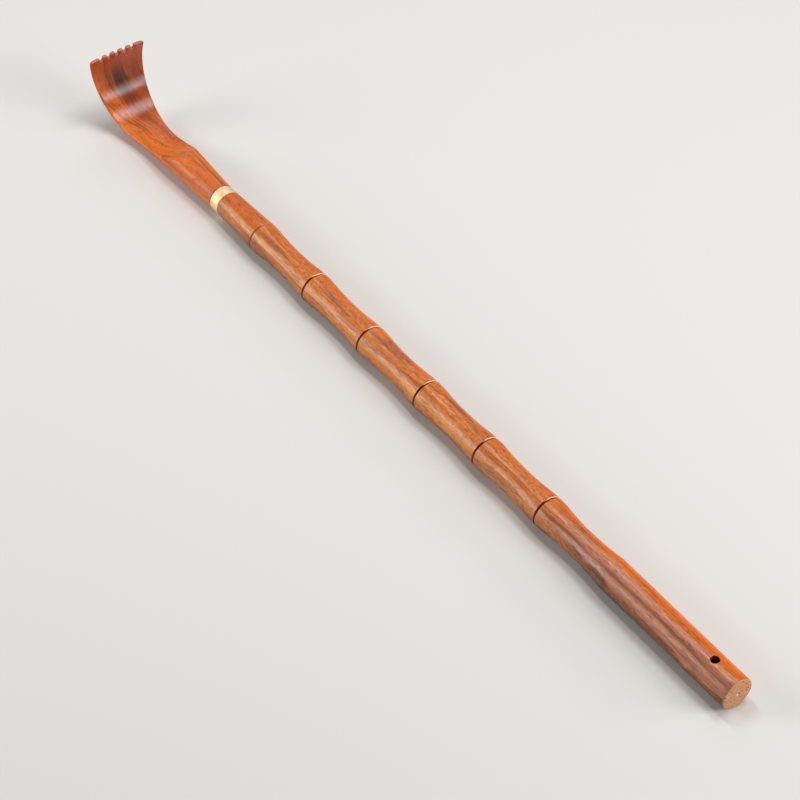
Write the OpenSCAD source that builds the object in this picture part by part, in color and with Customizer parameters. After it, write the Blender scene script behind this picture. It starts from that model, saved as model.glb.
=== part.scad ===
// Back scratcher in the bamboo style: a turned wooden handle, a brass ferrule and a carved head
// with a scoop and a row of teeth. A hidden dowel joins the head to the handle.
// Millimetres. It lies on its heel and its nodes, with the teeth up. +X runs to the butt, and the
// origin is on the table under the middle of the whole length.

/* [Handle] */
// Length of the handle from the butt to the ferrule
handle_length = 339; // [290:1:400]
// Diameter over the nodes and over the grip
node_d = 14.4; // [13.6:0.1:18]
// Number of turned nodes, evenly spaced
node_count = 6; // [3:1:7]
// Distance from the butt to the nearest node
first_node = 113; // [104:1:122]
// Length of the straight front, from the last node to the ferrule
front_length = 27; // [22:1:45]
// Diameter of the waists between the nodes
waist_d = 12.55; // [11.5:0.05:13.4]
// Radius of the rounded crest at each node, seen from the side
crest_r = 60; // [30:5:100]
// Width of the groove turned into each node
groove_w = 0.9; // [0.5:0.1:1.5]
// Depth of the groove turned into each node
groove_depth = 0.5; // [0.2:0.05:0.8]

/* [Grip] */
// Length of the plain grip
grip_length = 74; // [60:1:84]
// Diameter of the finger waist between the grip and the nearest node
grip_waist_d = 12.15; // [11.5:0.05:13.4]
// Rounding of the butt edge
butt_round = 0.7; // [0.3:0.1:2]
// Diameter of the hang hole
hang_hole_d = 3.6; // [2:0.1:5]
// Distance from the butt to the middle of the hang hole
hang_hole_from_butt = 13.5; // [8:0.5:40]

/* [Ferrule] */
// Diameter of the ferrule, flush with the wood on both sides of it
joint_d = 12.4; // [11.6:0.1:13.2]
// Length of the ferrule
ferrule_length = 5.5; // [3:0.1:10]
// Wall of the ferrule
ferrule_wall = 0.9; // [0.5:0.1:1.5]
// Break of the ferrule's outer edges
ferrule_edge = 0.15; // [0.05:0.05:0.4]
// Room between the ferrule and the spigot that carries it
ferrule_gap = 0.05; // [0.02:0.01:0.2]

/* [Dowel] */
// Diameter of the hidden dowel
dowel_d = 6; // [4:0.5:7]
// Length of the dowel, half in the head and half in the handle
dowel_length = 30; // [20:1:36]
// Chamfer of the dowel's ends
dowel_chamfer = 0.6; // [0.2:0.1:1]
// Room for glue round the dowel
glue_gap = 0.1; // [0.05:0.05:0.2]
// Room for glue beyond each end of the dowel
glue_pocket = 0.5; // [0.2:0.1:2]

/* [Head] */
// Reach of the head beyond the ferrule
head_reach = 85.5; // [82:0.5:100]
// Height of the middle teeth above the handle's axis
tip_height = 28.4; // [26:0.1:31]
// Radius at which the back of the head turns up
back_r = 27.8; // [26.5:0.1:31]
// Radius at which the scoop face turns up
scoop_r = 22.9; // [21.5:0.1:24]
// Radius of the long scoop floor between the shoulder and the turn
floor_r = 59; // [52:0.5:80]
// Angle past the lowest point at which the floor runs into the turn
floor_turn = 6; // [3:0.5:12]
// Thickness of the upright blade below the teeth
blade_wall = 2.2; // [1.8:0.05:3]
// Thickness of the wood under the scoop
heel_wall = 6.1; // [5:0.1:7]
// Depth of the flat that the heel rests on
heel_flat = 0.3; // [0.1:0.05:0.6]
// Distance from the ferrule to the shoulder of the scoop
shoulder_at = 27.5; // [22:0.5:34]
// Height of the shank's flattened top at the shoulder, above the handle's axis
shoulder_top = 6; // [5:0.1:7]
// Width of the shank at the shoulder
shoulder_w = 14.1; // [13:0.1:15]
// Squareness of the shank's top at the shoulder, where 2 is an ellipse
shoulder_square = 3.4; // [2:0.1:6]
// Width of the scoop before it flares
neck_w = 15.4; // [14.5:0.1:19]
// Distance from the ferrule to the start of the flare
flare_start = 44; // [36:1:52]
// Share of the flare that is curved, before its straight run to the teeth
flare_ease = 0.25; // [0.1:0.05:0.8]
// Width over the teeth
tip_w = 28.6; // [26:0.1:36]
// Squareness of the blade's section at the teeth, where 2 is an ellipse
tip_square = 4.5; // [2:0.1:6]

/* [Teeth] */
// Number of teeth
tooth_count = 6; // [3:1:7]
// Distance from one notch to the next
notch_pitch = 4.1; // [3:0.1:5]
// Width of a notch
notch_w = 1.5; // [0.8:0.1:2.2]
// Depth of a notch
notch_depth = 2.2; // [1.4:0.1:5]
// Radius of the arch that the tooth tips follow
tip_arch_r = 260; // [60:5:400]
// Rounding of the blade's outer corners
tip_corner_r = 1.2; // [0.4:0.1:3]

/* [Hidden] */
$fn = 96;

wood = "#a8552a";
pale_wood = "#c99b66";
brass = "#d9b968";

// Cutting tools run this far past the faces they cut
past = 1;

// Whole object: places along the length and heights
total_length = handle_length + ferrule_length + head_reach;
butt_x = total_length / 2;
joint_x = butt_x - handle_length;
shank_x = joint_x - ferrule_length;
node_r = node_d / 2;
axis_z = node_r;
joint_r = joint_d / 2;
spigot_r = joint_r - ferrule_wall - ferrule_gap;
dowel_bore_r = dowel_d / 2 + glue_gap;
dowel_bore_depth = dowel_length / 2 + glue_pocket;

// Turned profile of the handle, as [radius, distance from the butt]
turn_steps = 8;
last_node = handle_length - front_length;
node_pitch = (last_node - first_node) / (node_count - 1);
node_drop = node_r - waist_d / 2;
grip_drop = node_r - grip_waist_d / 2;
finger_span = (first_node - grip_length) / 2;

// Radius of a plain arc that spans a waist of this half length and depth
function arc_r(span, drop) = (span * span + drop * drop) / (2 * drop);

// Radius lost at distance d from a crest, where the crest arc runs into the waist arc
function drop_at(d, span, drop) =
    let (waist_r = arc_r(span, drop) - crest_r)
    let (turn = span * crest_r / (crest_r + waist_r))
    d < turn
        ? crest_r - sqrt(crest_r * crest_r - d * d)
        : drop - waist_r + sqrt(waist_r * waist_r - (span - d) * (span - d));

// Points on one side (+1 or -1) of the groove at place, on the way to the middle of a waist
function crest_points(place, side, span, drop, steps = turn_steps) =
    [for (i = [0 : steps])
        let (d = groove_w / 2 + (span - groove_w / 2) * i / turn_steps)
        [node_r - drop_at(d, span, drop), place + side * d]];

function reversed(list) = [for (i = [len(list) - 1 : -1 : 0]) list[i]];

function groove_point(place) = [node_r - groove_depth, place];

function butt_points() =
    [for (i = [0 : turn_steps])
        let (a = 90 * i / turn_steps)
        [node_r - butt_round * (1 - sin(a)), butt_round * (1 - cos(a))]];

// The finger waist leaves the grip at a plain corner
function grip_waist_points() =
    let (waist_r = arc_r(finger_span, grip_drop))
    [for (i = [0 : turn_steps - 1])
        let (m = finger_span * (1 - i / turn_steps))
        [node_r - grip_drop + waist_r - sqrt(waist_r * waist_r - m * m), grip_length + finger_span - m]];

function between_nodes(place) =
    concat(
        [groove_point(place)],
        crest_points(place, 1, node_pitch / 2, node_drop),
        reversed(crest_points(place + node_pitch, -1, node_pitch / 2, node_drop, turn_steps - 1)));

// The last crest runs straight down to the ferrule, tangent to the crest arc
front_low = crest_r - (node_r - joint_r);
front_angle = atan2(front_length, front_low) - acos(crest_r / norm([front_length, front_low]));
front_turn = crest_r * sin(front_angle);
front_points = [
    groove_point(last_node),
    [node_r - drop_at(groove_w / 2, node_pitch / 2, node_drop), last_node + groove_w / 2],
    [node_r - crest_r * (1 - cos(front_angle)), last_node + front_turn],
    [joint_r, handle_length],
    [0, handle_length]];

handle_profile = concat(
    [[0, 0]],
    butt_points(),
    grip_waist_points(),
    reversed(crest_points(first_node, -1, finger_span, grip_drop)),
    [for (i = [0 : node_count - 2]) each between_nodes(first_node + i * node_pitch)],
    front_points);

module handle() {
    color(wood)
        translate([butt_x, 0, axis_z])
            difference() {
                rotate([0, -90, 0])
                    rotate_extrude()
                        polygon(handle_profile);
                hang_hole();
                translate([-handle_length, 0, 0])
                    dowel_bore();
            }
}

module hang_hole() {
    translate([-hang_hole_from_butt, 0, 0])
        cylinder(d = hang_hole_d, h = node_d + 2 * past, center = true);
}

// Blind bore that runs along X to both sides of the joint face
module dowel_bore() {
    rotate([0, 90, 0])
        cylinder(r = dowel_bore_r, h = 2 * dowel_bore_depth, center = true);
}

module ferrule() {
    bore_r = joint_r - ferrule_wall;
    color(brass)
        translate([joint_x, 0, axis_z])
            rotate([0, -90, 0])
                rotate_extrude()
                    polygon([
                        [bore_r, 0],
                        [joint_r - ferrule_edge, 0],
                        [joint_r, ferrule_edge],
                        [joint_r, ferrule_length - ferrule_edge],
                        [joint_r - ferrule_edge, ferrule_length],
                        [bore_r, ferrule_length]]);
}

module joint_dowel() {
    r = dowel_d / 2;
    half = dowel_length / 2;
    color(pale_wood)
        translate([joint_x, 0, axis_z])
            rotate([0, 90, 0])
                rotate_extrude()
                    polygon([
                        [0, -half],
                        [r - dowel_chamfer, -half],
                        [r, dowel_chamfer - half],
                        [r, half - dowel_chamfer],
                        [r - dowel_chamfer, half],
                        [0, half]]);
}

// Head, seen from the side: x runs from the ferrule to the teeth and z up from the handle's axis.
// The back falls from the ferrule to the heel and turns up on one arc. The scoop is two tangent arcs.
heel_z = -axis_z - heel_flat;
back_c = [head_reach - back_r, heel_z + back_r];
scoop_c = back_c + [back_r - scoop_r - blade_wall, heel_wall - (back_r - scoop_r)];
floor_dir = [sin(floor_turn), -cos(floor_turn)];
floor_c = scoop_c - (floor_r - scoop_r) * floor_dir;
floor_end = scoop_c + scoop_r * floor_dir;

// Wood between the back and the scoop face, along a ray from the centre of the back arc
function blade_wall_at(turn) =
    let (ray = [sin(turn), -cos(turn)])
    let (shift = scoop_c - back_c)
    let (along = shift * ray)
    back_r - along - sqrt(scoop_r * scoop_r - shift * shift + along * along);

// Eases from 0 to 1 as t goes from 0 to 1
function ease(t) =
    let (s = max(0, min(1, t)))
    s * s * (3 - 2 * s);

// Flare from 0 at the neck to 1 at the teeth: a curve and then a straight run
function flare(t) =
    t <= 0 ? 0
        : t < flare_ease ? t * t / (flare_ease * (2 - flare_ease))
        : 1 - (1 - t) * 2 / (2 - flare_ease);

// Stations of the blank: across the shank first, and then round the back arc past the teeth
shank_steps = 14;
blade_steps = 22;
section_steps = 40;
past_turn = 6;
tip_turn = 90 + asin((tip_height - back_c[1]) / back_r);
end_turn = tip_turn + past_turn;
tip_run = back_c[0] + back_r * tip_turn * PI / 180;

// Underside of the shank, which falls from the ferrule to the heel
function underside(x) = (heel_z + joint_r) * pow(x / back_c[0], 3) - joint_r;

// Height at which the shank is widest: on the handle's axis to the shoulder, then down to the scoop face
function widest(x) =
    (heel_z + blade_wall_at(0)) * ease((x - shoulder_at) / (back_c[0] - shoulder_at));

// Share of the way from the round end at the ferrule to the flattened top at the shoulder
function to_shoulder(x) = min(1, x / shoulder_at);

function shank_top(x) = joint_r + (shoulder_top - joint_r) * to_shoulder(x);

// Half the width at a distance along the back
function half_width(run) =
    run < shoulder_at ? joint_r + (shoulder_w / 2 - joint_r) * to_shoulder(run)
        : run < flare_start
        ? (shoulder_w + (neck_w - shoulder_w) * (run - shoulder_at) / (flare_start - shoulder_at)) / 2
        : (neck_w + (tip_w - neck_w) * flare((run - flare_start) / (tip_run - flare_start))) / 2;

// One closed section through a back point, on the plane that holds the inward direction and Y. It is
// two half superellipses, low_h and top_h high, that meet where it is widest. Its points lie half a
// step off that height, where the scoop cuts the blade.
function section(back, inward, half_w, low_h, low_square, top_h, top_square) =
    [for (i = [0 : section_steps - 1])
        let (a = 360 * (i + 0.5) / section_steps)
        let (square = a < 180 ? top_square : low_square)
        let (across = sign(cos(a)) * pow(abs(cos(a)), 2 / square))
        let (rise = pow(abs(sin(a)), 2 / square))
        let (up = low_h + (a < 180 ? top_h * rise : -low_h * rise))
        [back[0] + inward[0] * up, half_w * across, back[1] + inward[1] * up]];

shank_sections = [for (i = [0 : shank_steps - 1])
    let (x = back_c[0] * i / shank_steps)
    section(
        [x, underside(x)],
        [0, 1],
        half_width(x),
        widest(x) - underside(x),
        2,
        shank_top(x) - widest(x),
        2 + (shoulder_square - 2) * pow(to_shoulder(x), 2))];

blade_sections = [for (i = [0 : blade_steps])
    let (turn = end_turn * i / blade_steps)
    let (run = back_c[0] + back_r * turn * PI / 180)
    let (wall = blade_wall_at(turn))
    let (square = 2 + (tip_square - 2) * ease(turn / tip_turn))
    section(
        back_c + back_r * [sin(turn), -cos(turn)],
        [-sin(turn), cos(turn)],
        half_width(run),
        wall,
        square,
        wall,
        square)];

// Skin through a list of sections, closed by a flat face at both ends
module loft(sections) {
    n = len(sections[0]);
    last = len(sections) - 1;
    points = [for (s = sections) each s];
    sides = [for (k = [0 : last - 1], i = [0 : n - 1])
        let (j = (i + 1) % n)
        each [
            [k * n + i, (k + 1) * n + j, k * n + j],
            [k * n + i, (k + 1) * n + i, (k + 1) * n + j]]];
    first_face = [for (i = [0 : n - 1]) i];
    last_face = [for (i = [n - 1 : -1 : 0]) last * n + i];
    polyhedron(points, concat(sides, [first_face, last_face]));
}

module head_blank() {
    loft(concat(shank_sections, blade_sections));
}

// Hollow of the scoop, cut straight across the head
module scoop() {
    rotate([90, 0, 0])
        linear_extrude(tip_w + 2 * past, center = true) {
            translate(scoop_c)
                circle(scoop_r);
            intersection() {
                translate(floor_c)
                    circle(floor_r);
                translate([floor_end[0] - head_reach, floor_end[1] - scoop_r])
                    square([head_reach, floor_r]);
            }
        }
}

// Height of the tooth tips at a distance from the middle
function crown(y) = tip_height - tip_arch_r + sqrt(tip_arch_r * tip_arch_r - y * y);

// Everything below the arch of the tooth tips, with its outer corners rounded
module tip_outline() {
    corner_y = tip_w / 2 - tip_corner_r;
    corner_z = crown(corner_y) - tip_corner_r;
    translate([-past, 0, 0])
        rotate([90, 0, 90])
            linear_extrude(head_reach + 2 * past)
                intersection() {
                    translate([0, tip_height - tip_arch_r])
                        circle(tip_arch_r);
                    union() {
                        translate([-tip_w, corner_z - head_reach])
                            square([2 * tip_w, head_reach]);
                        translate([-corner_y, corner_z - past])
                            square([2 * corner_y, tip_height]);
                        for (side = [-1, 1])
                            translate([side * corner_y, corner_z])
                                circle(tip_corner_r);
                    }
                }
}

module notches() {
    for (i = [1 : tooth_count - 1]) {
        y = (i - tooth_count / 2) * notch_pitch;
        translate([back_c[0], y, crown(y) - notch_depth + notch_w / 2]) {
            rotate([0, 90, 0])
                cylinder(d = notch_w, h = back_r + past);
            translate([0, -notch_w / 2, 0])
                cube([back_r + past, notch_w, notch_depth + past]);
        }
    }
}

// Everything below the table
module under_table() {
    translate([-past, -tip_w / 2, -axis_z - head_reach])
        cube([head_reach + 2 * past, tip_w, head_reach]);
}

// Round end that carries the ferrule
module spigot() {
    translate([-ferrule_length, 0, 0])
        rotate([0, 90, 0])
            cylinder(r = spigot_r, h = ferrule_length + past);
}

module head() {
    color(wood)
        translate([shank_x, 0, axis_z])
            rotate([0, 0, 180])
                difference() {
                    union() {
                        intersection() {
                            head_blank();
                            tip_outline();
                        }
                        spigot();
                    }
                    scoop();
                    notches();
                    under_table();
                    translate([-ferrule_length, 0, 0])
                        dowel_bore();
                }
}

handle();
ferrule();
joint_dowel();
head();
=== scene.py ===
"""Looks of the back scratcher: turned rosewood handle, brass ferrule, dowel and carved rosewood head.

Lengths are millimetres in the row's frame until a mesh is made: the butt is at +X, the teeth at -X, the
width runs along Y, and the table is at Z = 0.
"""
import math

import bmesh
import bpy
import numpy as np
from mathutils import Matrix, Vector


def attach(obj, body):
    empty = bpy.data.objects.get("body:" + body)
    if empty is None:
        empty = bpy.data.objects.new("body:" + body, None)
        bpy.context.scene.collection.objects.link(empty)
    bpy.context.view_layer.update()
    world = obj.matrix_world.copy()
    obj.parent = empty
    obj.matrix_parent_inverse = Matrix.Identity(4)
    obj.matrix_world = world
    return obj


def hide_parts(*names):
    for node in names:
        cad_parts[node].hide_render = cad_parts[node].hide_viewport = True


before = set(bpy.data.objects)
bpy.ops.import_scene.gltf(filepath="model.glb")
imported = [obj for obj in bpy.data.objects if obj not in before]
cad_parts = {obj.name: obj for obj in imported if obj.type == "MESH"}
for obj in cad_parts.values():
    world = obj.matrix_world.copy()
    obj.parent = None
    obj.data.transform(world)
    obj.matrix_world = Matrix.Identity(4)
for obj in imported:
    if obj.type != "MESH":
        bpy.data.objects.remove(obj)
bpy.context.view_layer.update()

MM = 0.001

# Handle, measured from the butt
BUTT_X = 215.0
AXIS_Z = 7.2
HANDLE_LENGTH = 339.0
NODE_R = 7.2
WAIST_R = 6.275
CREST_R = 60.0
NODE_COUNT = 6
FIRST_NODE = 113.0
FRONT_LENGTH = 27.0
NODE_PITCH = (HANDLE_LENGTH - FRONT_LENGTH - FIRST_NODE) / (NODE_COUNT - 1)
GRIP_LENGTH = 74.0
GRIP_WAIST_R = 6.075
BUTT_ROUND = 0.7
HOLE_R = 1.8
HOLE_AT = 13.5
HOLE_RIM = 0.35

# Grooves: rings from a lip to the bottom, as (distance from the middle, depth) in shares of the two sizes
GROOVE_HALF = 0.45
GROOVE_DEPTH = 0.5
GROOVE_RINGS = [
    (1.0, 0.0), (0.9, 0.07), (0.82, 0.2), (0.66, 0.393), (0.5, 0.586), (0.34, 0.779), (0.24, 0.9),
]

# Painted shade in the grooves and a painted glint on their upper walls: reaches are shares of GROOVE_HALF,
# and angles run from the top towards +Y
LIP_SHADE = 0.5
FAINT_SHADE = 0.2
SHADE_REACH = 1.4
# Mark of the painted glint: the head-side wall is painted pale as the lamps' highlight, from the top round
# to the far side
PAINTED_GLINT = -1.0
GLINT_REACH = 0.6
GLINT_START = math.radians(-24)
GLINT_END = math.radians(120)
GLINT_EASE = math.radians(32)

# Joint
JOINT_R = 6.2
BORE_R = 3.1
BORE_DEPTH = 15.5
FERRULE_LENGTH = 5.5
FERRULE_BORE_R = 5.3
FERRULE_EDGE = 0.18
SEAM_R = 0.2
# Reach of the painted shade on the head beside the ferrule seam, in shares of SEAM_R
SEAM_SHADE = 1.5
SPIGOT_R = 5.25
SPIGOT_OVERLAP = 1.0

# Head: x runs from the ferrule to the teeth and z up from the handle's axis
HEAD_X = BUTT_X - HANDLE_LENGTH - FERRULE_LENGTH
HEEL_Z = -7.5
BACK_R = 27.8
BACK_X, BACK_Z = 57.7, HEEL_Z + BACK_R
SCOOP_R = 22.9
SCOOP_X, SCOOP_Z = 60.4, 21.5
FLOOR_R = 59.0
FLOOR_TURN = math.radians(6)
SHOULDER_AT = 27.5
SHOULDER_TOP = 6.0
SHOULDER_W = 14.1
SHOULDER_SQUARE = 3.4
NECK_W = 15.4
FLARE_START = 44.0
FLARE_EASE = 0.25
TIP_W = 28.6
TIP_HEIGHT = 28.4
TIP_SQUARE = 4.5
TIP_ARCH_R = 260.0
TIP_CORNER_R = 1.2
TIP_TURN = math.pi / 2 + math.asin((TIP_HEIGHT - BACK_Z) / BACK_R)
TIP_RUN = BACK_X + BACK_R * TIP_TURN
TOOTH_COUNT = 6
NOTCH_PITCH = 4.1
NOTCH_R = 0.95
NOTCH_DEPTH = 2.2

# Sanded edges of the head
SCOOP_EDGE_R = 0.55
TOOTH_EDGE_R = 0.3
HEEL_EDGE_R = 0.25

# End grain of the teeth: how far it starts below the notches, and the rise of a normal over which it shows
END_GRAIN_BELOW = 1.0
END_GRAIN_RISE = (0.3, 0.8)

# Mesh steps
SEGMENTS = 96
WAIST_RINGS = 14
GRIP_STEP = 3.0
FACE_RINGS = (1.5, 3.0, 4.5, 6.0)
ROUND_RINGS = 6
EDGE_RINGS = 5
RINGS_BEFORE_HOLE = 3
HOLE_ROWS = 8
HOLE_ROW = 0.9
HOLE_START = HOLE_AT - HOLE_ROW * HOLE_ROWS / 2
HOLE_COLUMNS = 7
MOUTH_LOOPS = (0.4, 0.75)
SHARP_ANGLE = math.radians(38)
HEAD_STEP = 0.3
HEAD_MARGIN = 3 * HEAD_STEP
SNAP_PASSES = 3
LEAST_SLOPE = 1e-3


class Shell:
    """Vertices and faces of one turned piece, with named marks at its vertices."""

    def __init__(self):
        self.points = []
        self.faces = []
        self.marks = {}

    def loop(self, points, **marks):
        """Adds vertices, with one mark for all or one for each, and gives back their indices."""
        start = len(self.points)
        self.points.extend(points)
        indices = list(range(start, len(self.points)))
        for name, amounts in marks.items():
            self.marks.setdefault(name, {}).update(zip(indices, np.broadcast_to(amounts, len(points))))
        return indices

    def bridge(self, a, b, skip=()):
        for i in range(len(a)):
            if i not in skip:
                j = (i + 1) % len(a)
                self.faces.append((a[i], a[j], b[j], b[i]))

    def fan(self, loop, point, **marks):
        tip, = self.loop([point], **marks)
        for i in range(len(loop)):
            self.faces.append((loop[i], loop[(i + 1) % len(loop)], tip))

    def mesh(self, name):
        mesh = bpy.data.meshes.new(name)
        mesh.from_pydata([Vector(p) * MM for p in self.points], [], self.faces)
        mark_grain(mesh, np.array(self.points) - (0, 0, AXIS_Z))
        for mark, amounts in self.marks.items():
            mark_vertices(mesh, mark, [amounts.get(i, 0.0) for i in range(len(self.points))])
        work = bmesh.new()
        work.from_mesh(mesh)
        bmesh.ops.recalc_face_normals(work, faces=work.faces)
        work.to_mesh(mesh)
        work.free()
        mesh.shade_smooth()
        mesh.set_sharp_from_angle(angle=SHARP_ANGLE)
        return mesh


def mark_vertices(mesh, name, values):
    attribute = mesh.attributes.new(name, "FLOAT", "POINT")
    attribute.data.foreach_set("value", np.asarray(values, np.float32))


def mark_grain(mesh, places):
    """Stores each vertex's place in the straight board: along the grain, across it, and up."""
    attribute = mesh.attributes.new("grain", "FLOAT_VECTOR", "POINT")
    attribute.data.foreach_set("vector", np.asarray(places, np.float32).ravel())


def add_piece(name, mesh, material, node):
    """Puts a mesh in the scene in place of a CAD node."""
    piece = bpy.data.objects.new(name, mesh)
    bpy.context.scene.collection.objects.link(piece)
    mesh.materials.append(material)
    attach(piece, "root")
    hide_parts(node)


def ease(t):
    s = np.clip(t, 0, 1)
    return s * s * (3 - 2 * s)


def quarter_round(rings):
    """Angles of the rings of a rounded edge."""
    return np.linspace(0, math.pi / 2, rings)


def ring(x, r):
    """Points on a circle round the handle's axis, from the top towards +Y."""
    turns = [2 * math.pi * k / SEGMENTS for k in range(SEGMENTS)]
    return [(x, r * math.sin(a), AXIS_Z + r * math.cos(a)) for a in turns]


# Handle, whose rings are (distance from the butt, radius, mark). The mark is the share of painted shade, or
# the mark of the painted glint.


def crest_drop(d, span, drop):
    """Radius lost at distance d from a crest, where the crest arc runs into the waist arc."""
    waist_r = (span**2 + drop**2) / (2 * drop) - CREST_R
    turn = span * CREST_R / (CREST_R + waist_r)
    if d < turn:
        return CREST_R - math.sqrt(CREST_R**2 - d**2)
    return drop - waist_r + math.sqrt(waist_r**2 - (span - d) ** 2)


def groove_points(place, glint_and_full_shade):
    """Rings of a turned groove with slightly rounded lips and bottom.

    Painted shade grows with the depth and lies on the lip on the butt's side too. With the flag set, the
    lip and the upper wall on the head's side get a painted glint, a pale highlight, and the shade is full;
    without it, the painted shade is faint.
    """
    painted_shade = 1.0 if glint_and_full_shade else FAINT_SHADE
    shape = [(-SHADE_REACH, 0.0, 0.0)]
    shape += [(-d, h, painted_shade * max(h, LIP_SHADE)) for d, h in GROOVE_RINGS]
    shape += [(0.0, 1.0, painted_shade)]
    shape += [(d, h, PAINTED_GLINT if glint_and_full_shade and d > GLINT_REACH else painted_shade * h) for d, h in reversed(GROOVE_RINGS)]
    shape += [(SHADE_REACH, 0.0, 0.0)]
    return [(place + d * GROOVE_HALF, NODE_R - h * GROOVE_DEPTH, mark) for d, h, mark in shape]


def marks_round(mark):
    """Marks round a ring: a pale painted glint from the top to the far side, and painted shade elsewhere.
    """
    if mark != PAINTED_GLINT:
        return mark
    turns = np.linspace(0, 2 * math.pi, SEGMENTS, endpoint=False)
    turns = np.where(turns > math.pi, turns - 2 * math.pi, turns)
    glint = ease((turns - GLINT_START) / GLINT_EASE) * ease((GLINT_END - turns) / GLINT_EASE)
    return LIP_SHADE + (PAINTED_GLINT - LIP_SHADE) * glint


def crest_run(place, side, span, drop):
    """Rings from the lip of a groove to the middle of the waist beside it."""
    steps = np.linspace(GROOVE_HALF, span, WAIST_RINGS)[1:]
    run = [(place + side * d, NODE_R - crest_drop(d, span, drop), 0.0) for d in steps]
    return run if side > 0 else run[::-1]


def grip_points():
    """Rings of the plain grip, with close rows at the hang hole, and of the finger waist."""
    hole_rows = [HOLE_START + HOLE_ROW * i for i in range(HOLE_ROWS + 1)]
    before = np.linspace(BUTT_ROUND, HOLE_START, RINGS_BEFORE_HOLE + 2)[1:-1]
    after = np.arange(hole_rows[-1] + GRIP_STEP, GRIP_LENGTH, GRIP_STEP)
    grip = [(t, NODE_R, 0.0) for t in [*before, *hole_rows, *after, GRIP_LENGTH]]
    span = (FIRST_NODE - GRIP_LENGTH) / 2
    drop = NODE_R - GRIP_WAIST_R
    arc_r = (span**2 + drop**2) / (2 * drop)
    for m in np.linspace(span, 0, WAIST_RINGS)[1:-1]:
        grip.append((GRIP_LENGTH + span - m, GRIP_WAIST_R + arc_r - math.sqrt(arc_r**2 - m**2), 0.0))
    return grip + crest_run(FIRST_NODE, -1, span, drop)


def front_points(place):
    """Rings of the last crest, which runs straight down to the rounded edge at the ferrule."""
    low = CREST_R - (NODE_R - JOINT_R)
    angle = math.atan2(FRONT_LENGTH, low) - math.acos(CREST_R / math.hypot(FRONT_LENGTH, low))
    turn = CREST_R * math.sin(angle)
    crest = [(place + d, NODE_R - CREST_R + math.sqrt(CREST_R**2 - d**2), 0.0) for d in (0.5 * turn, turn)]
    start_t, start_r, _ = crest[-1]
    steps = np.linspace(0, 1, WAIST_RINGS)[1:]
    run = HANDLE_LENGTH - SEAM_R - start_t
    line = [(start_t + run * s, start_r + (JOINT_R - start_r) * s, 0.0) for s in steps]
    # The seam's rings carry a mark of painted shade, full at the ferrule
    seam = [
        (HANDLE_LENGTH - SEAM_R * (1 - math.sin(a)), JOINT_R - SEAM_R * (1 - math.cos(a)), math.sin(a))
        for a in quarter_round(EDGE_RINGS)[1:]
    ]
    return crest + line + seam


def turned_points():
    """Rings of the handle's side, from the rounded butt to the ferrule."""
    points = grip_points()
    span = NODE_PITCH / 2
    drop = NODE_R - WAIST_R
    for i in range(NODE_COUNT):
        place = FIRST_NODE + NODE_PITCH * i
        nearest_head = i == NODE_COUNT - 1
        # The groove nearest the head gets no painted glint and only faint painted shade
        points += groove_points(place, glint_and_full_shade=not nearest_head)
        if nearest_head:
            points += front_points(place)
        else:
            points += crest_run(place, 1, span, drop)
            points += crest_run(place + NODE_PITCH, -1, span, drop)[1:]
    return points


def top_column(k):
    return k % SEGMENTS


def bottom_column(k):
    return (SEGMENTS // 2 - k) % SEGMENTS


def window_loop(rings, column):
    """Vertices round the window that the hang hole's mouth fills."""
    across = list(range(-HOLE_COLUMNS, HOLE_COLUMNS + 1))
    loop = [rings[0][column(k)] for k in across]
    loop += [r[column(HOLE_COLUMNS)] for r in rings[1:]]
    loop += [rings[-1][column(k)] for k in across[-2::-1]]
    loop += [r[column(-HOLE_COLUMNS)] for r in rings[-2:0:-1]]
    return loop


def mouth_loops(shell, window, side):
    """Loops from the window to the hang hole's rounded rim, which carries painted shade, on the top (+1) or
    the bottom (-1).
    """
    hole_x = BUTT_X - HOLE_AT
    plan = np.array([(shell.points[i][0] - hole_x, shell.points[i][1]) for i in window])
    out = plan / np.linalg.norm(plan, axis=1)[:, None]
    rim = out * (HOLE_R + HOLE_RIM)
    stages = [(plan + (rim - plan) * s, 0.0) for s in MOUTH_LOOPS]
    for a in quarter_round(ROUND_RINGS):
        stages.append((out * (HOLE_R + HOLE_RIM * (1 - math.sin(a))), 1 - math.cos(a)))
    loops = []
    for places, sunk in stages:
        heights = np.sqrt(NODE_R**2 - places[:, 1] ** 2) - HOLE_RIM * sunk
        points = [(hole_x + x, y, AXIS_Z + side * h) for (x, y), h in zip(places, heights)]
        loops.append(shell.loop(points, groove=sunk))
    return loops


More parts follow.
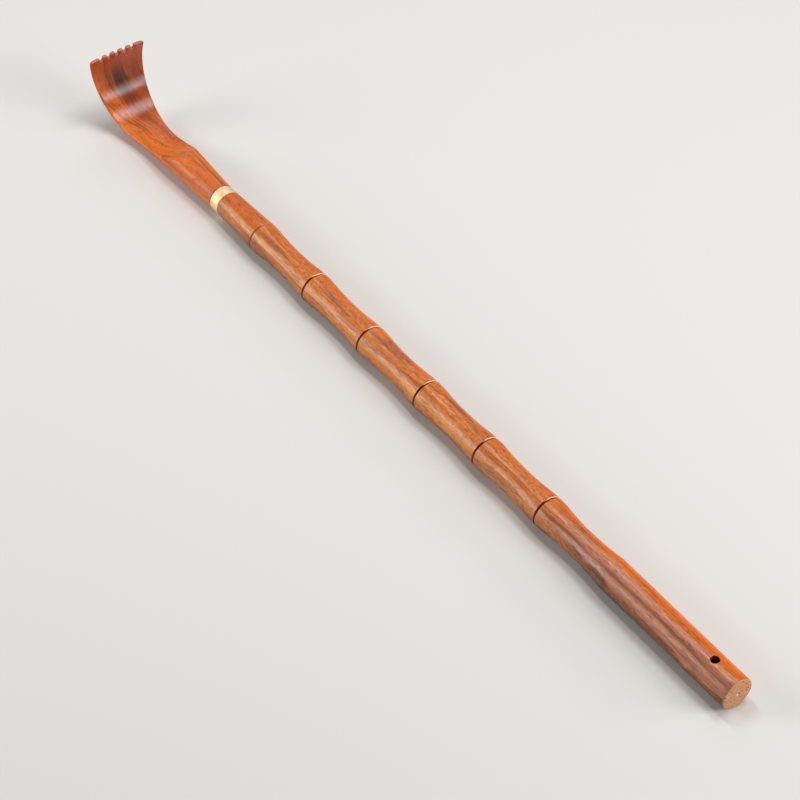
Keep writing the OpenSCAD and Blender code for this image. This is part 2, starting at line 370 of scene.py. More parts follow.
def handle_mesh():
    shell = Shell()
    rings = [shell.loop(ring(BUTT_X, r), end_grain=1.0) for r in FACE_RINGS]
    shell.fan(rings[0], (BUTT_X, 0, AXIS_Z), end_grain=1.0)
    for a in quarter_round(ROUND_RINGS):
        r = NODE_R - BUTT_ROUND * (1 - math.sin(a))
        x = BUTT_X - BUTT_ROUND * (1 - math.cos(a))
        rings.append(shell.loop(ring(x, r), end_grain=math.cos(a)))
    side = turned_points()
    first = len(rings) + next(i for i, p in enumerate(side) if p[0] > HOLE_START - HOLE_ROW / 2)
    rings += [shell.loop(ring(BUTT_X - t, r), groove=marks_round(mark)) for t, r, mark in side]
    front_x = BUTT_X - HANDLE_LENGTH
    rings += [shell.loop(ring(x, BORE_R)) for x in (front_x, front_x + BORE_DEPTH)]
    open_cells = range(-HOLE_COLUMNS, HOLE_COLUMNS)
    window_cells = {top_column(k) for k in open_cells} | {bottom_column(k + 1) for k in open_cells}
    for i in range(len(rings) - 1):
        in_window = first <= i < first + HOLE_ROWS
        shell.bridge(rings[i], rings[i + 1], skip=window_cells if in_window else ())
    shell.fan(rings[-1], (front_x + BORE_DEPTH, 0, AXIS_Z))
    rows = rings[first : first + HOLE_ROWS + 1]
    top, bottom = window_loop(rows, top_column), window_loop(rows, bottom_column)
    tunnel = [top, *mouth_loops(shell, top, 1), *mouth_loops(shell, bottom, -1)[::-1], bottom]
    for a, b in zip(tunnel, tunnel[1:]):
        shell.bridge(a, b)
    return shell.mesh("handle_turned")


# Ferrule


def ferrule_mesh():
    shell = Shell()
    x_joint = BUTT_X - HANDLE_LENGTH
    edge = [
        (FERRULE_EDGE * (1 - math.sin(a)), FERRULE_EDGE * (1 - math.cos(a)))
        for a in quarter_round(EDGE_RINGS)
    ]
    profile = [(x_joint, FERRULE_BORE_R)]
    profile += [(x_joint - d, JOINT_R - h) for h, d in edge]
    profile += [(x_joint - FERRULE_LENGTH * s, JOINT_R) for s in (0.25, 0.5, 0.75)]
    profile += [(x_joint - FERRULE_LENGTH + d, JOINT_R - h) for h, d in reversed(edge)]
    profile += [(x_joint - FERRULE_LENGTH, FERRULE_BORE_R)]
    rings = [shell.loop(ring(x, r)) for x, r in profile]
    for a, b in zip(rings, rings[1:] + rings[:1]):
        shell.bridge(a, b)
    return shell.mesh("ferrule_ring")


# Head, as a field that is negative in the wood and counts millimetres near the surface


def round_cut(a, b, r):
    """Overlap of two fields, with an edge of radius r between them."""
    return np.minimum(np.maximum(a, b), -r) + np.hypot(np.maximum(a + r, 0), np.maximum(b + r, 0))


def blade_turn(x, z):
    """Angle round the back arc, which is 0 on the shank."""
    return np.where(x > BACK_X, np.arctan2(x - BACK_X, BACK_Z - z), 0)


def blade_wall(turn):
    """Wood between the back and the scoop face along a ray from the centre of the back arc."""
    shift_x, shift_z = SCOOP_X - BACK_X, SCOOP_Z - BACK_Z
    along = shift_x * np.sin(turn) - shift_z * np.cos(turn)
    return BACK_R - along - np.sqrt(SCOOP_R**2 - shift_x**2 - shift_z**2 + along**2)


def half_width(run):
    """Half the width at a distance along the back: shank, neck, and then the flare to the teeth."""
    t = np.clip((run - FLARE_START) / (TIP_RUN - FLARE_START), 0, None)
    bend = FLARE_EASE * (2 - FLARE_EASE)
    flare = np.where(t < FLARE_EASE, t * t / bend, 1 - (1 - t) * 2 / (2 - FLARE_EASE))
    straight = np.interp(run, [0, SHOULDER_AT, FLARE_START], [JOINT_R, SHOULDER_W / 2, NECK_W / 2])
    return straight + (TIP_W - NECK_W) / 2 * flare


def blank_field(x, y, z):
    """Head before the scoop is cut: superellipse sections along the shank and round the back arc."""
    on_blade = x > BACK_X
    turn = blade_turn(x, z)
    along = np.clip(x, 0, BACK_X)
    wall = blade_wall(turn)
    to_shoulder = np.minimum(along / SHOULDER_AT, 1)
    underside = (HEEL_Z + JOINT_R) * (along / BACK_X) ** 3 - JOINT_R
    widest = (HEEL_Z + blade_wall(0)) * ease((along - SHOULDER_AT) / (BACK_X - SHOULDER_AT))
    shank_top = JOINT_R + (SHOULDER_TOP - JOINT_R) * to_shoulder
    rise = np.where(on_blade, BACK_R - np.hypot(x - BACK_X, z - BACK_Z) - wall, z - widest)
    height = np.where(on_blade, wall, np.where(rise > 0, shank_top - widest, widest - underside))
    shank_square = np.where(rise > 0, 2 + (SHOULDER_SQUARE - 2) * to_shoulder**2, 2)
    blade_square = 2 + (TIP_SQUARE - 2) * ease(turn / TIP_TURN)
    square = np.where(on_blade, blade_square, shank_square)
    across = np.abs(y) / half_width(np.where(on_blade, BACK_X + BACK_R * turn, along))
    level = (across**square + np.abs(rise / height) ** square) ** (1 / square) - 1
    slope = np.sqrt(sum(g**2 for g in np.gradient(level, HEAD_STEP)))
    return level / np.maximum(slope, LEAST_SLOPE)


def scoop_field(x, z):
    """Hollow of the scoop: the turn-up arc, and the long floor arc that is tangent to it."""
    ray_x, ray_z = math.sin(FLOOR_TURN), -math.cos(FLOOR_TURN)
    floor_x, floor_z = SCOOP_X - (FLOOR_R - SCOOP_R) * ray_x, SCOOP_Z - (FLOOR_R - SCOOP_R) * ray_z
    turn_up = np.hypot(x - SCOOP_X, z - SCOOP_Z) - SCOOP_R
    floor_arc = np.hypot(x - floor_x, z - floor_z) - FLOOR_R
    before_ray = (x - SCOOP_X) * -ray_z + (z - SCOOP_Z) * ray_x < 0
    return np.where(before_ray, floor_arc, turn_up)


def crown(y):
    """Height of the arch of the tooth tips."""
    return TIP_HEIGHT - TIP_ARCH_R + math.sqrt(TIP_ARCH_R**2 - y**2)


def tip_field(y, z):
    """Space below the arch of the tooth tips, with rounded outer corners."""
    below_arch = np.hypot(y, z - TIP_HEIGHT + TIP_ARCH_R) - TIP_ARCH_R
    return round_cut(below_arch, np.abs(y) - TIP_W / 2, TIP_CORNER_R)


def notch_field(x, y, z):
    """Round-bottomed notches between the teeth. Off the blade, the field is 1 mm clear of any notch."""
    notches = []
    for i in range(1, TOOTH_COUNT):
        place = (i - TOOTH_COUNT / 2) * NOTCH_PITCH
        centre_z = crown(place) - NOTCH_DEPTH + NOTCH_R
        notches.append(np.hypot(y - place, np.minimum(z - centre_z, 0)) - NOTCH_R)
    return np.where(x > BACK_X, np.minimum.reduce(notches), 1.0)


def head_field(x, y, z):
    head = round_cut(blank_field(x, y, z), -scoop_field(x, z), SCOOP_EDGE_R)
    head = round_cut(head, tip_field(y, z), TOOTH_EDGE_R)
    head = round_cut(head, -notch_field(x, y, z), TOOTH_EDGE_R)
    head = round_cut(head, -z - AXIS_Z, HEEL_EDGE_R)
    head = round_cut(head, -x, SEAM_R)
    from_axis = np.hypot(y, z)
    spigot = np.maximum(from_axis - SPIGOT_R, np.maximum(-x - FERRULE_LENGTH, x - SPIGOT_OVERLAP))
    bore = np.maximum(from_axis - BORE_R, x + FERRULE_LENGTH - BORE_DEPTH)
    return np.maximum(np.minimum(head, spigot), -bore)


CORNERS = [(i, j, k) for i in (0, 1) for j in (0, 1) for k in (0, 1)]


def crossing_means(field, cells):
    """Mean of the places where a field crosses zero on the edges of each cell, in cell units."""
    values = {c: field[tuple((cells + c).T)] for c in CORNERS}
    total = np.zeros(cells.shape)
    hits = np.zeros(len(cells))
    for axis in range(3):
        for corner in (c for c in CORNERS if c[axis] == 0):
            a, b = values[corner], values[tuple(np.add(corner, np.eye(3, dtype=int)[axis]))]
            crosses = (a < 0) != (b < 0)
            place = np.tile(np.array(corner, float), (len(cells), 1))
            place[:, axis] = np.where(crosses, a / np.where(crosses, a - b, 1), 0)
            total[crosses] += place[crosses]
            hits += crosses
    return total / hits[:, None]


def skin_of(field):
    """Vertices, in grid units, and quads of the surface where a field is zero."""
    inside = field < 0
    spans = [n - 1 for n in field.shape]
    corners_inside = np.zeros(spans, int)
    for corner in CORNERS:
        corners_inside += inside[tuple(slice(c, c + span) for c, span in zip(corner, spans))]
    mixed = (corners_inside > 0) & (corners_inside < len(CORNERS))
    index = np.full(mixed.shape, -1)
    index[mixed] = np.arange(mixed.sum())
    cells = np.argwhere(mixed)
    quads = []
    for axis in range(3):
        u, v = (axis + 1) % 3, (axis + 2) % 3
        near = np.take(inside, range(spans[axis]), axis)
        far = np.take(inside, range(1, spans[axis] + 1), axis)
        edges = np.argwhere(near != far)
        around = []
        for du, dv in ((-1, -1), (0, -1), (0, 0), (-1, 0)):
            cell = edges.copy()
            cell[:, u] += du
            cell[:, v] += dv
            around.append(index[tuple(cell.T)])
        quad = np.stack(around, 1)
        faces_back = far[tuple(edges.T)]
        quad[faces_back] = quad[faces_back, ::-1]
        quads.append(quad)
    return cells + crossing_means(field, cells), np.concatenate(quads)


def sample(grid, places):
    """Value of a grid between its points."""
    low = np.clip(places.astype(int), 0, np.array(grid.shape) - 2)
    part = places - low
    total = 0
    for corner in CORNERS:
        weight = np.prod(np.where(corner, part, 1 - part), axis=1)
        total = total + weight * grid[tuple((low + corner).T)]
    return total


def straight_grain(local):
    """Places in the board before its blade was bent up: the grain follows the back of the head."""
    x, y, z = local.T
    on_blade = x > BACK_X
    run = np.where(on_blade, BACK_X + BACK_R * blade_turn(x, z), x)
    rise = np.where(on_blade, HEEL_Z + BACK_R - np.hypot(x - BACK_X, z - BACK_Z), z)
    return np.stack([-run, -y, rise], 1)


def head_mesh():
    """Skin of the head's field, with its vertices moved onto the surface and its normals from the field."""
    lows = np.array([-FERRULE_LENGTH, -TIP_W / 2, -AXIS_Z]) - HEAD_MARGIN
    highs = np.array([BACK_X + BACK_R, TIP_W / 2, TIP_HEIGHT]) + HEAD_MARGIN
    axes = [np.arange(low, high, HEAD_STEP) for low, high in zip(lows, highs)]
    field = head_field(*np.meshgrid(*axes, indexing="ij"))
    slopes = np.gradient(field)
    places, quads = skin_of(field)
    for _ in range(SNAP_PASSES):
        slope = np.stack([sample(s, places) for s in slopes], 1)
        size = np.maximum((slope**2).sum(1), LEAST_SLOPE**2)
        places = places - slope * (sample(field, places) / size)[:, None]
    normals = np.stack([sample(s, places) for s in slopes], 1)
    normals /= np.linalg.norm(normals, axis=1)[:, None]
    local = lows + places * HEAD_STEP
    half_turn = np.array([-1, -1, 1])
    points = (local * half_turn + (HEAD_X, 0, AXIS_Z)) * MM
    mesh = bpy.data.meshes.new("head_carved")
    mesh.from_pydata(points.tolist(), [], quads.tolist())
    mesh.shade_smooth()
    mesh.normals_split_custom_set_from_vertices((normals * half_turn).tolist())
    mark_grain(mesh, straight_grain(local))
    on_teeth = ease(local[:, 2] - (TIP_HEIGHT - NOTCH_DEPTH - END_GRAIN_BELOW))
    least, full = END_GRAIN_RISE
    mark_vertices(mesh, "end_grain", on_teeth * ease((normals[:, 2] - least) / (full - least)))
    # Painted shade on the head beside the ferrule seam
    mark_vertices(mesh, "groove", ease(SEAM_SHADE - local[:, 0] / SEAM_R))
    return mesh


# Materials


def colour(code):
    """Linear colour of a six-digit screen colour."""
    parts = [int(code[i : i + 2], 16) / 255 for i in (0, 2, 4)]
    return [c / 12.92 if c <= 0.04045 else ((c + 0.055) / 1.055) ** 2.4 for c in parts] + [1.0]


class Nodes:
    """Node tree of a new material, with one call for each kind of step."""

    def __init__(self, name):
        self.material = bpy.data.materials.new(name)
        self.material.use_nodes = True
        self.tree = self.material.node_tree
        self.shader = self.tree.nodes["Principled BSDF"]

    def join(self, node, socket, value):
        """Links a socket to an input, or sets the input to a plain value."""
        if isinstance(value, bpy.types.NodeSocket):
            self.tree.links.new(value, node.inputs[socket])
        else:
            node.inputs[socket].default_value = value

    def add(self, kind, inputs, output=0, **settings):
        node = self.tree.nodes.new(kind)
        for name, value in settings.items():
            setattr(node, name, value)
        for socket, value in inputs.items():
            self.join(node, socket, value)
        return node.outputs[output]

    def math(self, operation, a, b=0.0, c=0.0):
        return self.add("ShaderNodeMath", {0: a, 1: b, 2: c}, operation=operation)

    def plus(self, base, value, amount):
        """Base with an amount of another value added."""
        return self.math("MULTIPLY_ADD", value, amount, base)

    def sway(self, base, noise, amount):
        """Base that a noise moves to both sides."""
        return self.plus(base, self.math("SUBTRACT", noise, 0.5), amount)

    def fade(self, value, start, end):
        """0 before start, 1 past end, and a smooth step between them."""
        limits = {"Value": value, "From Min": start, "From Max": end}
        return self.add("ShaderNodeMapRange", limits, interpolation_type="SMOOTHSTEP")

    def dot(self, vector, direction):
        inputs = {0: vector, 1: direction}
        return self.add("ShaderNodeVectorMath", inputs, output="Value", operation="DOT_PRODUCT")

    def attribute(self, name, output="Fac"):
        return self.add("ShaderNodeAttribute", {}, output=output, attribute_name=name)

    def millimetres(self):
        """Place in the object, in millimetres."""
        place = self.add("ShaderNodeTexCoord", {}, output="Object")
        return self.add("ShaderNodeVectorMath", {0: place, "Scale": 1 / MM}, operation="SCALE")

    def noise(self, distances, lengths, detail=2.0):
        """Noise that is stretched to a length in millimetres along each of three distances."""
        pairs = enumerate(zip(distances, lengths))
        scaled = {i: self.math("DIVIDE", distance, length) for i, (distance, length) in pairs}
        vector = self.add("ShaderNodeCombineXYZ", scaled)
        return self.add("ShaderNodeTexNoise", {"Vector": vector, "Scale": 1.0, "Detail": detail})

    def ramp(self, factor, stops):
        """Colours at stops along a factor, as (position, screen colour)."""
        node = self.tree.nodes.new("ShaderNodeValToRGB")
        elements = node.color_ramp.elements
        while len(elements) < len(stops):
            elements.new(0.5)
        for element, (position, code) in zip(elements, stops):
            element.position = position
            element.color = colour(code)
        self.join(node, "Fac", factor)
        return node.outputs["Color"]

    def tint(self, base, share, amount, code):
        """Base colour with a screen colour laid over a share of it, by an amount."""
        node = self.tree.nodes.new("ShaderNodeMix")
        node.data_type = "RGBA"
        for socket, value in ((0, self.math("MULTIPLY", share, amount)), (6, base), (7, colour(code))):
            self.join(node, socket, value)
        return node.outputs[2]

    def finish(self, base, roughness, height, bump):
        """Joins the colour, the roughness and a bump of (strength, depth in millimetres) to the shader."""
        strength, depth = bump
        inputs = {"Height": height, "Strength": strength, "Distance": depth * MM}
        normal = self.add("ShaderNodeBump", inputs)
        for socket, value in (("Base Color", base), ("Roughness", roughness), ("Normal", normal)):
            self.join(self.shader, socket, value)
        return self.material


def grain_axes(n, place, layer_turn):
    """Distances along the grain, through the growth layers and across them."""
    along = n.dot(place, (1, 0, 0))
    through = n.dot(place, (0, math.sin(layer_turn), math.cos(layer_turn)))
    across = n.dot(place, (0, math.cos(layer_turn), -math.sin(layer_turn)))
    return along, through, across


# Rosewood's noises: lengths along the grain, through the growth layers and across them
LONG_WAVE = (62, 15, 12)
SHORT_WAVE = (17, 6, 5)
FIBRE = (11, 0.55, 0.55)
RIPPLE = (1.4, 1.8, 1.8)
FIGURE = (34, 2.4, 7)
STREAK = (60, 1.1, 10)
GROWTH_LINE = (150, 0.5, 45)
PORE = (4, 0.36, 0.36)

# Ranges over which a noise or a mark comes to show
FIBRE_RANGE = (0.35, 0.72)
RIPPLE_RANGE = (0.45, 0.65)
PATCH_RANGE = (0.3, 0.62)
STREAK_RANGE = (0.5, 0.74)
GROWTH_LINE_RANGE = (0.54, 0.68)
PORE_RANGE = (0.57, 0.66)
# Painted shade where the groove mark is above 0
SHADE_RANGE = (0.02, 0.4)
# Painted glint where the groove mark drops below 0
GLINT_RANGE = (0.0, -0.8)

# Amounts and colours that both woods share
FIBRE_AMOUNT = 0.4
RIPPLE_AMOUNT = 0.28
LEAST_PATCH = 0.5
END_AMOUNT = 0.8
END_PORE_AMOUNT = 0.85
# Share of the painted shade's dark colour
SHADE_AMOUNT = 0.95
# Share of the painted glint's pale colour
GLINT_AMOUNT = 0.9
PORE_COLOUR = "4a1e0e"
END_PORE_COLOUR = "4a2a18"
# Dark colour of the painted shade in the grooves, at the seams and round the hang hole's rim
SHADE_COLOUR = "761400"
# Pale colour of the painted glint on the grooves' upper walls
GLINT_COLOUR = "ffdab8"

# Relief and gloss of rosewood: heights are shares of the bump's depth
FIBRE_HEIGHT = 0.6
PORE_HEIGHT = -1.0
END_PORE_HEIGHT = -2.0
WOOD_BUMP = (0.35, 0.06)
FIBRE_ROUGHNESS = 0.16
END_ROUGHNESS = 0.25
# Roughness drops where the painted shade lies
RECESS_ROUGHNESS = -0.22
WOOD_SPECULAR = 0.45

# Depth that the colours of the growth layers cover, from the lowest to the highest
LAYER_SPAN = 18.0

# Pores in the end grain: least and greatest radius, and the fade at the edge, as shares of the pitch. A
# radius below 0 leaves the pore out.
END_PORE_PITCH = 1.1
END_PORE_R = (-0.17, 0.33)
END_PORE_EDGE = (-0.03, 0.05)


def coloured_zone(along, middle, inner, outer, code, amount, wave=0.0):
    """Zone round a middle layer: full within the inner distance from it and gone at the outer one.

    It grows along the grain between two places, and the short wave of the layers moves it more where a
    wave is given.
    """
    return {
        "along": along,
        "middle": middle,
        "reach": (outer, inner),
        "colour": code,
        "amount": amount,
        "wave": wave,
    }


def zone_share(n, x, layer, short_wave, zone):
    """Share of a coloured zone at a place along the grain and in a layer."""
    waved = n.sway(layer, short_wave, zone["wave"])
    offset = n.math("ABSOLUTE", n.math("SUBTRACT", waved, zone["middle"]))
    return n.math("MULTIPLY", n.fade(x, *zone["along"]), n.fade(offset, *zone["reach"]))


def end_pores(n, s, t):
    """Open pores cut straight across, as scattered dots on the end grain."""
    places = {0: n.math("DIVIDE", s, END_PORE_PITCH), 1: n.math("DIVIDE", t, END_PORE_PITCH)}
    cells = {"Vector": n.add("ShaderNodeCombineXYZ", places), "Scale": 1.0}
    nearest = n.add("ShaderNodeTexVoronoi", cells, output="Distance", voronoi_dimensions="2D")
    cell = n.add("ShaderNodeTexVoronoi", cells, output="Color", voronoi_dimensions="2D")
    chance = n.dot(cell, (1, 0, 0))
    least, most = END_PORE_R
    radius = n.plus(least, chance, most - least)
    return n.fade(n.math("SUBTRACT", radius, nearest), *END_PORE_EDGE)


def spot_share(n, s, t, spot):
    """Share of a round spot in the cross-section: 1 in its middle and 0 beyond its radius."""
    ds, dt = n.math("SUBTRACT", s, spot["s"]), n.math("SUBTRACT", t, spot["t"])
    away = n.math("POWER", n.plus(n.math("MULTIPLY", dt, dt), ds, ds), 0.5)
    return n.fade(away, spot["radius"], 0.5 * spot["radius"])


def rosewood(name, look):
    """Oiled rosewood: growth layers, zones, streaks, growth lines, pores, end grain, painted shade in the
    grooves, at the seams and round the hang hole, and a painted glint on the grooves.

    The layers are stacked in the direction that is layer_turn from up towards +Y. They wave along the
    grain, so that a turned or carved surface cuts them in arches.
    """
    n = Nodes(name)
    end_grain = n.attribute("end_grain")
    groove = n.attribute("groove")
    x, s, t = grain_axes(n, n.attribute("grain", "Vector"), look["layer_turn"])
    straight = (n.math("ADD", x, look["seed"]), s, t)

    short_wave = n.noise(straight, SHORT_WAVE)
    layer = n.sway(s, n.noise(straight, LONG_WAVE), look["long_wave"])
    layer = n.sway(layer, short_wave, look["short_wave"])
    waved = (straight[0], layer, t)
    wood = n.ramp(n.plus(0.5, layer, 1 / LAYER_SPAN), look["layers"])

    fibre = n.noise(waved, FIBRE)
    wood = n.tint(wood, n.fade(fibre, *FIBRE_RANGE), FIBRE_AMOUNT, look["fibre"])
    ripple = n.noise(straight, RIPPLE, detail=1.0)
    wood = n.tint(wood, n.fade(ripple, *RIPPLE_RANGE), RIPPLE_AMOUNT, look["ripple"])
    figure = n.fade(n.noise(waved, FIGURE), *look["figure_range"])
    wood = n.tint(wood, figure, look["figure_amount"], look["figure"])

    streak = n.noise(waved, STREAK, detail=3.0)
    patchy = n.plus(LEAST_PATCH, n.fade(streak, *PATCH_RANGE), 1 - LEAST_PATCH)
    for zone in look["zones"]:
        share = n.math("MULTIPLY", zone_share(n, x, layer, short_wave, zone), patchy)
        wood = n.tint(wood, share, zone["amount"], zone["colour"])
    streaked = n.math("MULTIPLY", n.fade(streak, *STREAK_RANGE), n.fade(short_wave, *PATCH_RANGE))
    wood = n.tint(wood, streaked, look["streak_amount"], look["streak"])
    growth_line = n.fade(n.noise(waved, GROWTH_LINE, detail=1.0), *GROWTH_LINE_RANGE)
    wood = n.tint(wood, growth_line, look["line_amount"], look["streak"])
    pores = n.fade(n.noise(straight, PORE, detail=1.0), *PORE_RANGE)
    wood = n.tint(wood, pores, look["pore_amount"], PORE_COLOUR)

    wood = n.tint(wood, end_grain, END_AMOUNT, look["end"])
    dots = n.math("MULTIPLY", end_pores(n, s, t), end_grain)
    wood = n.tint(wood, dots, END_PORE_AMOUNT, END_PORE_COLOUR)
    for spot in look["pith"]:
        wood = n.tint(wood, spot_share(n, s, t, spot), end_grain, spot["colour"])
    # Painted shade: dark colour in the grooves, at the seams and round the hang hole's rim
    painted_shade = n.fade(groove, *SHADE_RANGE)
    wood = n.tint(wood, painted_shade, SHADE_AMOUNT, SHADE_COLOUR)
    # Painted glint: pale highlight colour on the grooves' upper walls
    wood = n.tint(wood, n.fade(groove, *GLINT_RANGE), GLINT_AMOUNT, GLINT_COLOUR)

    height = n.plus(n.math("MULTIPLY", fibre, FIBRE_HEIGHT), pores, PORE_HEIGHT)
    height = n.plus(height, dots, END_PORE_HEIGHT)
    height = n.plus(height, ripple, look["ripple_height"])
    polish = n.fade(x, *look["polish_along"])
    roughness = n.plus(look["satin"], polish, look["polished"] - look["satin"])
    roughness = n.sway(roughness, fibre, FIBRE_ROUGHNESS)
    roughness = n.plus(roughness, end_grain, END_ROUGHNESS)
    roughness = n.plus(roughness, painted_shade, RECESS_ROUGHNESS)
    n.join(n.shader, "Specular IOR Level", WOOD_SPECULAR)
    return n.finish(wood, roughness, height, WOOD_BUMP)


HANDLE_WOOD = {
    "layers": [
        # The three darkest stops at the low end fall on the near underside and are painted shade there; the
        # other stops are the growth layers' colours
        (0.0, "3c1606"),
        (0.14, "5e2a0a"),
        (0.24, "c0621a"),
        (0.36, "ee9840"),
        (0.44, "e0842e"),
        (0.52, "e07c26"),
        (0.6, "cc661c"),
        (0.71, "e67e24"),
        (0.775, "b85408"),
        (0.81, "de6e08"),
        (0.87, "d46606"),
        (0.89, "b4540c"),
        (0.91, "da6a06"),
        (1.0, "d46004"),
    ],
    "layer_turn": math.radians(50),
    "long_wave": 7.0,
    "short_wave": 2.6,
    "zones": [
        coloured_zone((-300, -290), 9.7, 4.0, 4.8, "e46c00", 0.7),
        coloured_zone((92, 130), 9.0, 4.0, 4.8, "e66a00", 0.8),
        coloured_zone((92, 130), 0.0, 3.5, 4.3, "bc7a62", 0.9, wave=2.0),
        coloured_zone((104, 140), -7.0, 2.4, 4.0, "3c1a08", 0.9, wave=9.0),
        coloured_zone((80, 120), 0.2, 0.2, 1.5, "6c3018", 0.65),
        coloured_zone((-92, -104), 3.5, 2.5, 4.0, "d25c00", 0.8),
    ],
    "streak": "8a4426",
    "streak_amount": 0.5,
    "figure": "9c5238",
    "figure_range": (0.5, 0.66),
    "figure_amount": 0.6,
    "line_amount": 0.45,
    "fibre": "dd8a3c",
    "ripple": "f0b070",
    "ripple_height": 0.5,
    "pore_amount": 0.54,
    "end": "d69c72",
    "pith": [
        {"s": 0.0, "t": 0.0, "radius": 0.8, "colour": "f0dcc4"},
        {"s": 0.6, "t": 0.3, "radius": 0.5, "colour": "2c1810"},
    ],
    "satin": 0.33,
    "polished": 0.3,
    "polish_along": (95, 130),
    "seed": 0.0,
}
HEAD_WOOD = {
    "layers": [
        (0.0, "cc5214"),
        (0.16, "ea741c"),
        (0.3, "c04c14"),
        (0.42, "e87020"),
        (0.52, "e2661a"),
        (0.64, "f07a1a"),
        (0.78, "d45e16"),
        (1.0, "f0801c"),
    ],
    "layer_turn": math.radians(-24),
    "long_wave": 6.0,
    "short_wave": 2.0,
    "zones": [
        coloured_zone((-60, -78), -13.0, 9.0, 14.0, "862c14", 0.8),
        coloured_zone((-78, -95), -4.6, 1.4, 4.8, "2a0e08", 0.95),
        coloured_zone((-95, -106), -7.0, 8.0, 10.0, "b84c22", 0.85),
    ],
    "streak": "682a12",
    "streak_amount": 0.45,
    "figure": "8a3016",
    "figure_range": (0.52, 0.7),
    "figure_amount": 0.5,
    "line_amount": 0.55,
    "fibre": "d8782c",
    "ripple": "ee8a3c",
    "ripple_height": 0.2,
    "pore_amount": 0.38,
    "end": "cc8060",
    "pith": [],
    "satin": 0.42,
    "polished": 0.22,
    "polish_along": (-38, -56),
    "seed": 400.0,
}
DOWEL_WOOD = {
    "layer_noise": (40, 1.6, 5),
    "layers": [(0.3, "c2935c"), (0.5, "d8b27c"), (0.7, "caa06a")],
    "fibre_noise": (8, 0.3, 0.3),
    "fibre_range": (0.4, 0.7),
    "fibre_amount": 0.4,
    "fibre": "b58650",
    "roughness": 0.5,
    "fibre_roughness": 0.2,
    "bump": (0.3, 0.05),
}
SATIN_BRASS = {
    "turned_noise": (0.12, 9, 9),
    "tarnish_noise": (3, 3, 3),
    "tarnish_range": (0.35, 0.7),
    "mottle_noise": (0.6, 0.6, 0.6),
    "mottle_range": (0.45, 0.65),
    "mottle_amount": 0.3,
    "bright": "fcecc8",
    "tarnish": "f2d8a4",
    "mottle": "d8b47c",
    "roughness": 0.62,
    "tarnish_roughness": 0.12,
    "bump": (0.2, 0.02),
}


def dowel_hardwood(look):
    """Pale straight-grained hardwood, unfinished."""
    n = Nodes("dowel_hardwood")
    place = grain_axes(n, n.millimetres(), 0.0)
    fibre = n.noise(place, look["fibre_noise"])
    wood = n.ramp(n.noise(place, look["layer_noise"]), look["layers"])
    wood = n.tint(wood, n.fade(fibre, *look["fibre_range"]), look["fibre_amount"], look["fibre"])
    roughness = n.plus(look["roughness"], fibre, look["fibre_roughness"])
    return n.finish(wood, roughness, fibre, look["bump"])


def brass(look):
    """Satin brass with a fine turned finish, uneven tarnish and a fine mottle."""
    n = Nodes("satin_brass")
    place = grain_axes(n, n.millimetres(), math.pi / 2)
    turned = n.noise(place, look["turned_noise"])
    tarnish = n.noise(place, look["tarnish_noise"])
    mottle = n.noise(place, look["mottle_noise"], detail=1.0)
    metal = n.tint(colour(look["bright"]), n.fade(tarnish, *look["tarnish_range"]), 1.0, look["tarnish"])
    metal = n.tint(metal, n.fade(mottle, *look["mottle_range"]), look["mottle_amount"], look["mottle"])
    roughness = n.plus(look["roughness"], tarnish, look["tarnish_roughness"])
    n.join(n.shader, "Metallic", 1.0)
    return n.finish(metal, roughness, turned, look["bump"])


def dress_dowel():
    """Gives the hidden dowel, which stays as its CAD node, a material."""
    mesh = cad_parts["joint_dowel"].data
    mesh.materials.clear()
    mesh.materials.append(dowel_hardwood(DOWEL_WOOD))


# Stage, in metres

FLOOR_SIZE = 8
FLOOR_COLOUR = "e8e6e2"
FLOOR_ROUGHNESS = 0.9
FLOOR_SPECULAR = 0.2
SKY_COLOUR = "f4f4f4"
SKY_STRENGTH = 0.12

# Lamps: target, azimuth and elevation in degrees, distance, width, height, radiance
HEAD_TARGET = (-0.2, 0.0, 0.03)
HANDLE_TARGET = (0.0, 0.0, 0.01)
GRIP_TARGET = (0.17, 0.0, 0.01)
LAMPS = {
    "side_box": (HANDLE_TARGET, -128, 20, 1.3, 0.7, 0.7, 5.6),
    "front_box": (HEAD_TARGET, 24, 24, 1.2, 0.5, 0.24, 8.5),
    "top_box": (HEAD_TARGET, 55, 64, 1.2, 0.5, 0.3, 9.2),
    "grip_box": (GRIP_TARGET, 172, 62, 1.0, 0.12, 0.35, 14.0),
    "rim_box": (HANDLE_TARGET, 44, 16, 1.5, 0.8, 0.18, 12.0),
    "back_box": (HANDLE_TARGET, 150, 38, 1.4, 1.3, 0.8, 0.85),
}

# Photograph's view, with the lens and the sensor in millimetres
VIEW_PLACE = (0.6655, -0.4821, 0.8140)
VIEW_AHEAD = (-0.5696, 0.4148, -0.7096)
VIEW_RIGHT = (0.5887, 0.8084, 0.0)
VIEW_LENS = 125.55
VIEW_SENSOR = 36.0


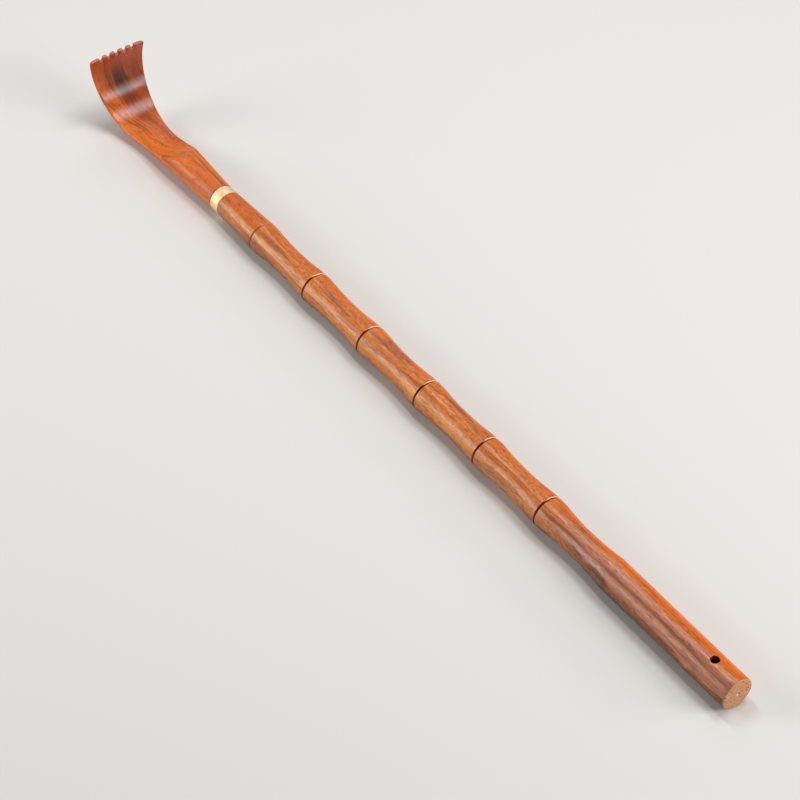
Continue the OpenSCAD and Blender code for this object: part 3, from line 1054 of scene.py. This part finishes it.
def floor():
    bpy.ops.mesh.primitive_plane_add(size=FLOOR_SIZE)
    plane = bpy.context.object
    plane.name = "floor"
    n = Nodes("pale_floor")
    n.join(n.shader, "Base Color", colour(FLOOR_COLOUR))
    n.join(n.shader, "Roughness", FLOOR_ROUGHNESS)
    n.join(n.shader, "Specular IOR Level", FLOOR_SPECULAR)
    plane.data.materials.append(n.material)


def softbox(name, target, azimuth, elevation, distance, width, height, radiance):
    """Rectangular lamp that faces a target point, from a direction given in degrees."""
    light = bpy.data.lights.new(name, "AREA")
    light.shape = "RECTANGLE"
    light.size = width
    light.size_y = height
    light.energy = radiance * math.pi * width * height
    lamp = bpy.data.objects.new(name, light)
    az, el = math.radians(azimuth), math.radians(elevation)
    away = Vector((math.cos(el) * math.cos(az), math.cos(el) * math.sin(az), math.sin(el)))
    lamp.location = Vector(target) + away * distance
    lamp.rotation_euler = away.to_track_quat("Z", "Y").to_euler()
    bpy.context.scene.collection.objects.link(lamp)


def sky():
    world = bpy.data.worlds.new("studio")
    world.use_nodes = True
    background = world.node_tree.nodes["Background"]
    background.inputs["Color"].default_value = colour(SKY_COLOUR)
    background.inputs["Strength"].default_value = SKY_STRENGTH
    bpy.context.scene.world = world


def camera():
    """Photograph's view, from behind the butt on the near side, on a square image."""
    ahead, right = Vector(VIEW_AHEAD).normalized(), Vector(VIEW_RIGHT).normalized()
    up = right.cross(ahead)
    data = bpy.data.cameras.new("photo_view")
    data.lens = VIEW_LENS
    data.sensor_width = VIEW_SENSOR
    view = bpy.data.objects.new("photo_view", data)
    turn = Matrix((right, up, -ahead)).transposed().to_4x4()
    view.matrix_world = Matrix.Translation(VIEW_PLACE) @ turn
    bpy.context.scene.collection.objects.link(view)
    bpy.context.scene.camera = view


add_piece("turned_handle", handle_mesh(), rosewood("handle_rosewood", HANDLE_WOOD), "handle")
add_piece("carved_head", head_mesh(), rosewood("head_rosewood", HEAD_WOOD), "head")
add_piece("brass_ferrule", ferrule_mesh(), brass(SATIN_BRASS), "ferrule")
dress_dowel()
floor()
for lamp_name, lamp_values in LAMPS.items():
    softbox(lamp_name, *lamp_values)
sky()
camera()
bpy.context.scene.view_settings.view_transform = "Standard"
